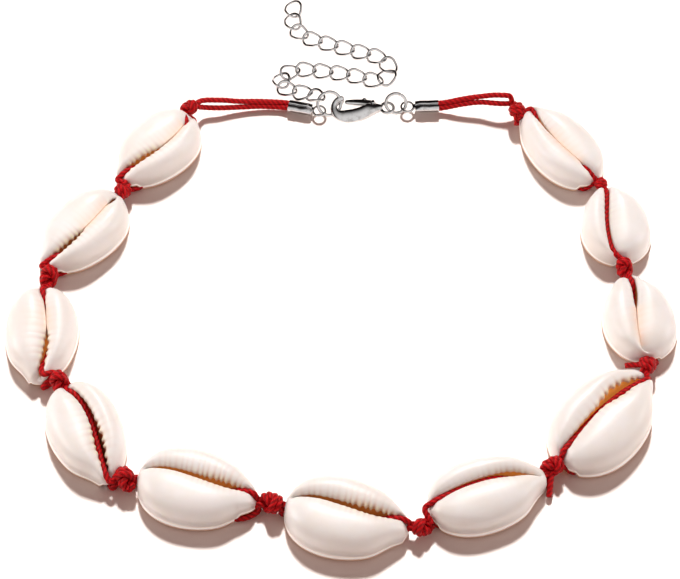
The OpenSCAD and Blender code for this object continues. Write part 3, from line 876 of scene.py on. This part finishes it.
def buildCord(k):
    room, tailRoom = cordPlan["knotRoom"]
    strands = []
    for lane in (0, 1):
        points = []
        if k > 0:  # goes on from the knot before, the higher strand first
            order = sorted((0, 1), key=lambda i: -allKnots[k][i][-1][2])
            points.append(allKnots[k][order[lane]][-1])
        if k == 0:
            points += clearOf(tailRoute(cordPlan["leftTail"])[lane][::-1], 1, tailRoom)
        elif k == len(knots):
            points += clearOf(tailRoute(cordPlan["rightTail"])[lane], k, tailRoom)
        else:
            points += clearOf(clearOf(routesThrough(k)[lane], k, room), k + 1, room)
        if k < len(knots):
            points += list(allKnots[k + 1][lane])
        strands.append(laidStrand("redStrand%02d%s" % (k, "ab"[lane]), points))
    if k in stubs:
        root, end = knotCentre(k), np.array(stubs[k])
        strands.append(laidStrand("cutEnd%02d" % k, [root, (2 * root + 3 * end) / 5, end]))
    return joinPieces(strands, "redCord%02d" % k)


for k in range(len(knots) + 1):
    dress(buildCord(k), waxedCotton, "cord", "necklace", "cord_%02d" % k)
bpy.data.objects.remove(profile)
print("cord laid and knotted")


# Metal findings

ringPlan = {
    "wire": 0.75,
    "seamDepth": 0.35,      # of the cut where the wire's ends meet
    "left": {"at": (-2.62, 39.46, 2.28), "turn": 12, "tilt": 47, "radius": 2.6, "seam": 100},
    "right": {"at": (12.13, 39.56, 2.25), "turn": 0, "tilt": 55, "radius": 2.25, "seam": 60},
}


def bendRing(name, plan):
    piece = addRing(72, 20, plan["radius"], ringPlan["wire"] / 2)
    piece.name = name
    points = pointsOf(piece)
    angle = np.degrees(np.arctan2(points[:, 1], points[:, 0]))
    off = (angle - plan["seam"] + 180) % 360 - 180
    tuck = 1 - ringPlan["seamDepth"] * bell(off, 0, 1.6)
    turn = np.radians(angle)
    middle = np.stack([np.cos(turn), np.sin(turn), 0 * turn], 1) * plan["radius"] * mm
    movePoints(piece, middle + (points - middle) * tuck[:, None])
    setAt(piece, plan["at"], (math.radians(plan["tilt"]), 0, math.radians(plan["turn"])))
    bpy.ops.object.shade_smooth()
    return piece


dress(bendRing("jumpRingLeft", ringPlan["left"]), plating, "metal", "necklace", "jump_ring_left")
dress(bendRing("jumpRingRight", ringPlan["right"]), plating, "metal", "necklace", "jump_ring_right")

chainPlan = {
    "wire": 0.60,
    "width": 4.2,
    "play": 0.35,
    "innerWire": 0.45,      # what the length of a link leaves for its neighbours' wire
    "wind": 30,             # a link's ends are wound this far, so that the chain lies flat
    "low": 1.05,
    # Where a link hooks into the next, from the free end, with the height where it rises
    "joints": [
        (-10.77, 69.46), (-11.27, 65.66), (-10.87, 61.86), (-8.27, 59.16), (-4.67, 57.86),
        (-1.07, 56.56), (2.63, 55.36), (6.33, 54.36), (9.73, 52.76), (11.43, 49.36), (9.03, 46.36),
        (5.33, 47.36), (1.63, 48.46), (-2.17, 49.16), (-5.97, 49.66), (-9.77, 50.06), (-13.17, 48.56),
        (-13.77, 44.86, 1.6), (-10.47, 42.96, 1.75), (-6.77, 42.46, 2.2), (-4.67, 39.56, 3.6),
    ],
}


def chainJoint(i):
    spot = chainPlan["joints"][i]
    return Vector((spot[0], spot[1], spot[2] if len(spot) == 3 else chainPlan["low"]))


def setLink(i, model):  # the round model, drawn out along x, wound and laid down
    a, b = chainJoint(i - 1), chainJoint(i)
    along = b - a
    outside = along.length + chainPlan["play"] + 2 * chainPlan["innerWire"]
    spread = (outside - chainPlan["width"]) / 2 * mm
    piece = model.copy()
    piece.data = model.data.copy()
    piece.name = "chainLink%02d" % i
    scene.collection.objects.link(piece)
    points = pointsOf(piece)
    points[:, 0] += np.sign(np.round(points[:, 0], 9)) * spread
    wind = -np.radians(chainPlan["wind"]) * np.clip(points[:, 0] / (outside / 2 * mm), -1, 1)
    y, z = points[:, 1].copy(), points[:, 2].copy()
    points[:, 1] = y * np.cos(wind) - z * np.sin(wind)
    points[:, 2] = y * np.sin(wind) + z * np.cos(wind)
    movePoints(piece, points)
    piece.matrix_world = (Matrix.Translation((a + b) / 2 * mm)
                          @ Matrix.Rotation(math.atan2(along.y, along.x), 4, "Z")
                          @ Matrix.Rotation(-math.asin(along.z / along.length), 4, "Y"))
    settle(piece)
    bpy.ops.object.shade_smooth()
    return piece


linkModel = addRing(48, 14, (chainPlan["width"] - chainPlan["wire"]) / 2, chainPlan["wire"] / 2)
for i in range(1, len(chainPlan["joints"])):
    dress(setLink(i, linkModel), plating, "metal", "necklace", "chain_link_%02d" % i)
bpy.data.objects.remove(linkModel)
print("rings and chain made")


# Cord ends

sleevePlan = {
    "length": 5.2,
    "width": 2.8,
    "height": 1.75,
    "sheet": 0.28,
    "seamDepth": 0.30,      # where the two flaps meet
    "crimpDepth": 0.10,     # pressed by the pliers
    "loopRadius": 1.35,
    "loopWire": 0.52,
    "loopGap": 0.4,         # from the sleeve's mouth to the middle of the loop's wire
    "neck": (1.1, 1.25, 0.5),
    "neckAt": -0.05,
    "neckEdge": 0.14,
    "left": {"at": (-6.57, 38.46, 1.4), "turn": 168},
    "right": {"at": (16.43, 39.16, 1.6), "turn": 2},
}


def foldSleeve(name, spot):
    plan = sleevePlan
    bpy.ops.mesh.primitive_cylinder_add(vertices=48, radius=1 * mm, depth=plan["length"] * mm,
                                        end_fill_type="NOTHING", location=(plan["length"] / 2 * mm, 0, 0),
                                        rotation=(0, math.pi / 2, 0))
    tube = bpy.context.object
    settle(tube)
    bpy.ops.object.mode_set(mode="EDIT")
    bpy.ops.mesh.select_all(action="SELECT")
    bpy.ops.mesh.subdivide(number_cuts=9)
    bpy.ops.object.mode_set(mode="OBJECT")
    points = pointsOf(tube) / mm
    angle = np.arctan2(points[:, 1], points[:, 2])  # 0 at the top
    share = points[:, 0] / plan["length"]
    c, s = np.cos(angle), np.sin(angle)
    flat = (np.abs(c) ** 3 + np.abs(s) ** 3) ** (-1 / 3)
    closing = 1 - 0.45 * smoothStep((0.18 - share) / 0.18)
    y = s * flat * plan["width"] / 2 * (0.94 + 0.06 * closing)
    z = c * flat * plan["height"] / 2 * closing
    z = z - plan["seamDepth"] * bell(angle, 0, 0.10)
    z = z - plan["crimpDepth"] * bell(share, 0.55, 0.10) * (c > 0) * np.abs(c)
    movePoints(tube, np.stack([points[:, 0], y, z], 1) * mm)
    wall = tube.modifiers.new("sheet", "SOLIDIFY")
    wall.thickness = plan["sheet"] * mm
    wall.offset = -1
    bpy.ops.object.modifier_apply(modifier=wall.name)

    radius = plan["loopRadius"]
    loop = addRing(56, 16, radius, plan["loopWire"] / 2, (-plan["loopGap"] - radius, 0))
    bpy.ops.mesh.primitive_cube_add(size=1, location=(plan["neckAt"] * mm, 0, 0),
                                    scale=[side * mm for side in plan["neck"]])
    neck = bpy.context.object
    settle(neck)
    roundEdges(neck, plan["neckEdge"] * mm)
    piece = joinPieces([tube, loop, neck], name)
    setAt(piece, spot["at"], (0, 0, math.radians(spot["turn"])))
    bpy.ops.object.shade_smooth_by_angle(angle=math.radians(40))
    return piece


dress(foldSleeve("cordEndLeft", sleevePlan["left"]), plating, "metal", "necklace", "cord_end_left")
dress(foldSleeve("cordEndRight", sleevePlan["right"]), plating, "metal", "necklace", "cord_end_right")
print("cord ends folded")


# Clasp

claspPlan = {
    "at": (3.73, 38.66, 1.35),
    "thickness": 2.3,
    "slope": 0.38,          # of the claw's top, down to the front
    "leverThickness": 1.4,
    # x, y, height over the middle, radius
    "claw": [(5.3, 0.35, 0, 0.75), (4.3, 0.3, 0, 1.15), (3.0, -0.1, 0, 1.4), (1.2, -1.3, 0, 1.45),
             (-0.9, -1.95, 0, 1.5), (-2.9, -2.15, 0, 1.4), (-4.6, -1.8, 0.1, 1.05),
             (-5.5, -0.5, 0.3, 0.76), (-5.15, 0.95, 0.35, 0.68), (-4.1, 1.75, 0.35, 0.64),
             (-3.3, 1.85, 0.3, 0.55), (-3.1, 1.85, 0.3, 0.3)],
    "lever": [(4.0, 0.95, 0, 0.45), (3.4, 1.2, 0, 0.9), (2.2, 1.55, 0, 0.92), (0.8, 1.7, 0, 0.86),
              (-0.8, 1.8, 0, 0.78), (-2.1, 1.85, 0, 0.64), (-2.75, 1.85, 0, 0.55), (-2.93, 1.85, 0, 0.3)],
    "eye": {"at": (6.5, 0.3), "radius": 1.4, "wire": 0.36},
    "rivet": {"at": (3.3, 1.3), "radius": 0.42, "depth": 2.3, "edge": 0.1},
    "knob": {"at": (1.4, 2.45), "radius": 0.55},
}


def taperedBar(name, rows, thickness):
    data = bpy.data.curves.new(name, "CURVE")
    data.dimensions = "3D"
    data.bevel_depth = 1 * mm
    data.bevel_resolution = 6
    data.use_fill_caps = True
    spline = data.splines.new("NURBS")
    spline.points.add(len(rows) - 1)
    for point, row in zip(spline.points, rows):
        point.co = (row[0] * mm, row[1] * mm, row[2] * mm, 1)
        point.radius = row[3]
    spline.order_u = 3
    spline.use_endpoint_u = True
    spline.resolution_u = 10
    piece = meshFrom(data)
    points = pointsOf(piece)
    top = thickness / 2 * mm
    points[:, 2] = np.sign(points[:, 2]) * top * np.tanh(np.abs(points[:, 2]) / top)
    movePoints(piece, points)
    return piece


def modelClasp():
    plan = claspPlan
    claw = taperedBar("claw", plan["claw"], plan["thickness"])
    points = pointsOf(claw)
    slope = plan["slope"] * (points[:, 1] + 1.8 * mm) * smoothStep((4 - points[:, 0] / mm) / 3)
    points[:, 2] += np.where(points[:, 2] > 0, slope * np.tanh(points[:, 2] / (0.6 * mm)), 0)
    movePoints(claw, points)
    shape = plan["eye"]
    eye = addRing(48, 14, shape["radius"], shape["wire"], shape["at"])
    shape = plan["rivet"]
    bpy.ops.mesh.primitive_cylinder_add(vertices=24, radius=shape["radius"] * mm, depth=shape["depth"] * mm,
                                        location=flatSpot(shape["at"]))
    rivet = bpy.context.object
    settle(rivet)
    roundEdges(rivet, shape["edge"] * mm)
    piece = joinPieces([claw, eye, rivet], "claspClaw")
    setAt(piece, plan["at"])
    bpy.ops.object.shade_smooth_by_angle(angle=math.radians(50))
    return piece


def modelLever():
    plan = claspPlan
    bar = taperedBar("leverBar", plan["lever"], plan["leverThickness"])
    shape = plan["knob"]
    bpy.ops.mesh.primitive_uv_sphere_add(segments=24, ring_count=14, radius=shape["radius"] * mm,
                                         location=flatSpot(shape["at"]))
    knob = bpy.context.object
    settle(knob)
    piece = joinPieces([bar, knob], "claspLever")
    setAt(piece, plan["at"])
    bpy.ops.object.shade_smooth()
    return piece


dress(modelClasp(), plating, "metal", "necklace", "clasp_body")
dress(modelLever(), plating, "metal", "clasp_lever", "clasp_lever")
print("clasp made")


# Table and light

studioPlan = {
    "floor": (0.91, 0.84, 0.79, 1),
    "floorGrain": 0.985,
    "floorRoughness": 0.6,
    "floorSpecular": 0.2,
    "floorSize": 4,
    "tableSun": 5.8,        # what the table gets of the sun, and what the choker gets
    "chokerSun": 1.38,
    "sunAngle": 7.0,
    "sunElevation": 46.5,
    "chainShadow": 0.2,     # how much of the sun the thin chain and rings keep off the table
    "overhead": 1.6,
    "overheadAt": (-0.02, 0.04, 0.25),
    "overheadSize": (0.20, 0.12),
    "leftLight": 1.25,
    "rightLight": 0.85,
    "sideLightAt": (0.42, 0.0, 0.16),
    "sideLightSize": (0.2, 0.2),
    "lightColor": (1.0, 0.98, 0.96),
    "roomFront": (0.20, 0.118, 0.102, 1),
    "roomSides": (0.58, 0.455, 0.43, 1),
    "sidesFade": (0.35, 0.8),
    "reflectedDark": (0.012, 0.01, 0.01, 1),
    "reflectedBright": (1.0, 0.97, 0.95, 1),
    "brightFrom": (0.42, -0.75, 0.5),
    "brightFade": (0.15, 0.75),
}


def addSun(name, strength, receivers, blockers=None):
    plan = studioPlan
    elevation = math.radians(plan["sunElevation"])
    bpy.ops.object.light_add(type="SUN", location=(0, 0.5, 0.5))
    sun = bpy.context.object
    sun.name = name
    sun.data.energy = strength
    sun.data.angle = math.radians(plan["sunAngle"])
    aimAt(sun, Vector((0, math.cos(elevation), math.sin(elevation))))
    sun.light_linking.receiver_collection = receivers
    if blockers:
        sun.light_linking.blocker_collection = blockers


def addSoftLight(name, strength, spot, size, receivers):
    bpy.ops.object.light_add(type="AREA", location=spot)
    panel = bpy.context.object
    panel.name = name
    panel.data.shape = "RECTANGLE"
    panel.data.size, panel.data.size_y = size
    panel.data.energy = strength * math.pi * spot.length_squared
    panel.data.color = studioPlan["lightColor"]
    aimAt(panel, spot)
    panel.light_linking.receiver_collection = receivers


def lightRoom():  # what shines in from the sides, and what the metal mirrors
    plan = studioPlan
    world = bpy.data.worlds.new("softRoom")
    scene.world = world
    world.use_nodes = True
    tree = world.node_tree
    background = tree.nodes["Background"]
    path = tree.nodes.new("ShaderNodeLightPath")
    way = tree.nodes.new("ShaderNodeTexCoord")
    split = tree.nodes.new("ShaderNodeSeparateXYZ")
    tree.links.new(way.outputs["Generated"], split.inputs["Vector"])
    aside = tree.nodes.new("ShaderNodeMath")
    aside.operation = "ABSOLUTE"
    tree.links.new(split.outputs["X"], aside.inputs[0])
    sides = remap(tree, aside.outputs[0], *plan["sidesFade"])
    room = mixColors(tree, sides, plan["roomFront"], plan["roomSides"])
    toward = addNode(tree, "ShaderNodeVectorMath", operation="DOT_PRODUCT")
    tree.links.new(way.outputs["Generated"], toward.inputs[0])
    toward.inputs[1].default_value = Vector(plan["brightFrom"]).normalized()
    bright = remap(tree, toward.outputs["Value"], *plan["brightFade"])
    mirrored = mixColors(tree, bright, plan["reflectedDark"], plan["reflectedBright"])
    tree.links.new(mixColors(tree, path.outputs["Is Glossy Ray"], room, mirrored), background.inputs["Color"])
    background.inputs["Strength"].default_value = 1.0


def setStage():
    plan = studioPlan
    solid = bpy.data.collections.new("shadowing")
    dull = bpy.data.collections.new("shellsAndCord")
    for piece in scene.objects:
        if piece.type == "MESH":
            if not piece.name.startswith(("chainLink", "jumpRing", "clasp")):
                solid.objects.link(piece)
            if piece.name.startswith(("cowrie", "red")):
                dull.objects.link(piece)
    bpy.ops.mesh.primitive_plane_add(size=plan["floorSize"], location=(0, 0, 0))
    floor = bpy.context.object
    floor.name = "tabletop"
    material, tree, shader = newMaterial("whiteTable")
    grain = objectNoise(tree, 40, 2)
    darker = tuple(plan["floorGrain"] * c for c in plan["floor"][:3]) + (1,)
    tree.links.new(mixColors(tree, grain, plan["floor"], darker), shader.inputs["Base Color"])
    shader.inputs["Roughness"].default_value = plan["floorRoughness"]
    shader.inputs["Specular IOR Level"].default_value = plan["floorSpecular"]
    floor.data.materials.append(material)
    table = bpy.data.collections.new("tableLit")
    table.objects.link(floor)

    addSun("sunOnTable", plan["tableSun"] * (1 - plan["chainShadow"]), table, solid)
    addSun("restOfSunOnTable", plan["tableSun"] * plan["chainShadow"], table)
    addSun("sunOnChoker", plan["chokerSun"], dull)

    addSoftLight("softOverhead", plan["overhead"], Vector(plan["overheadAt"]), plan["overheadSize"], dull)
    x, y, z = plan["sideLightAt"]
    addSoftLight("softLeft", plan["leftLight"], Vector((-x, y, z)), plan["sideLightSize"], dull)
    addSoftLight("softRight", plan["rightLight"], Vector((x, y, z)), plan["sideLightSize"], dull)
    lightRoom()


setStage()
scene.view_settings.view_transform = "Standard"
print("stage lit")
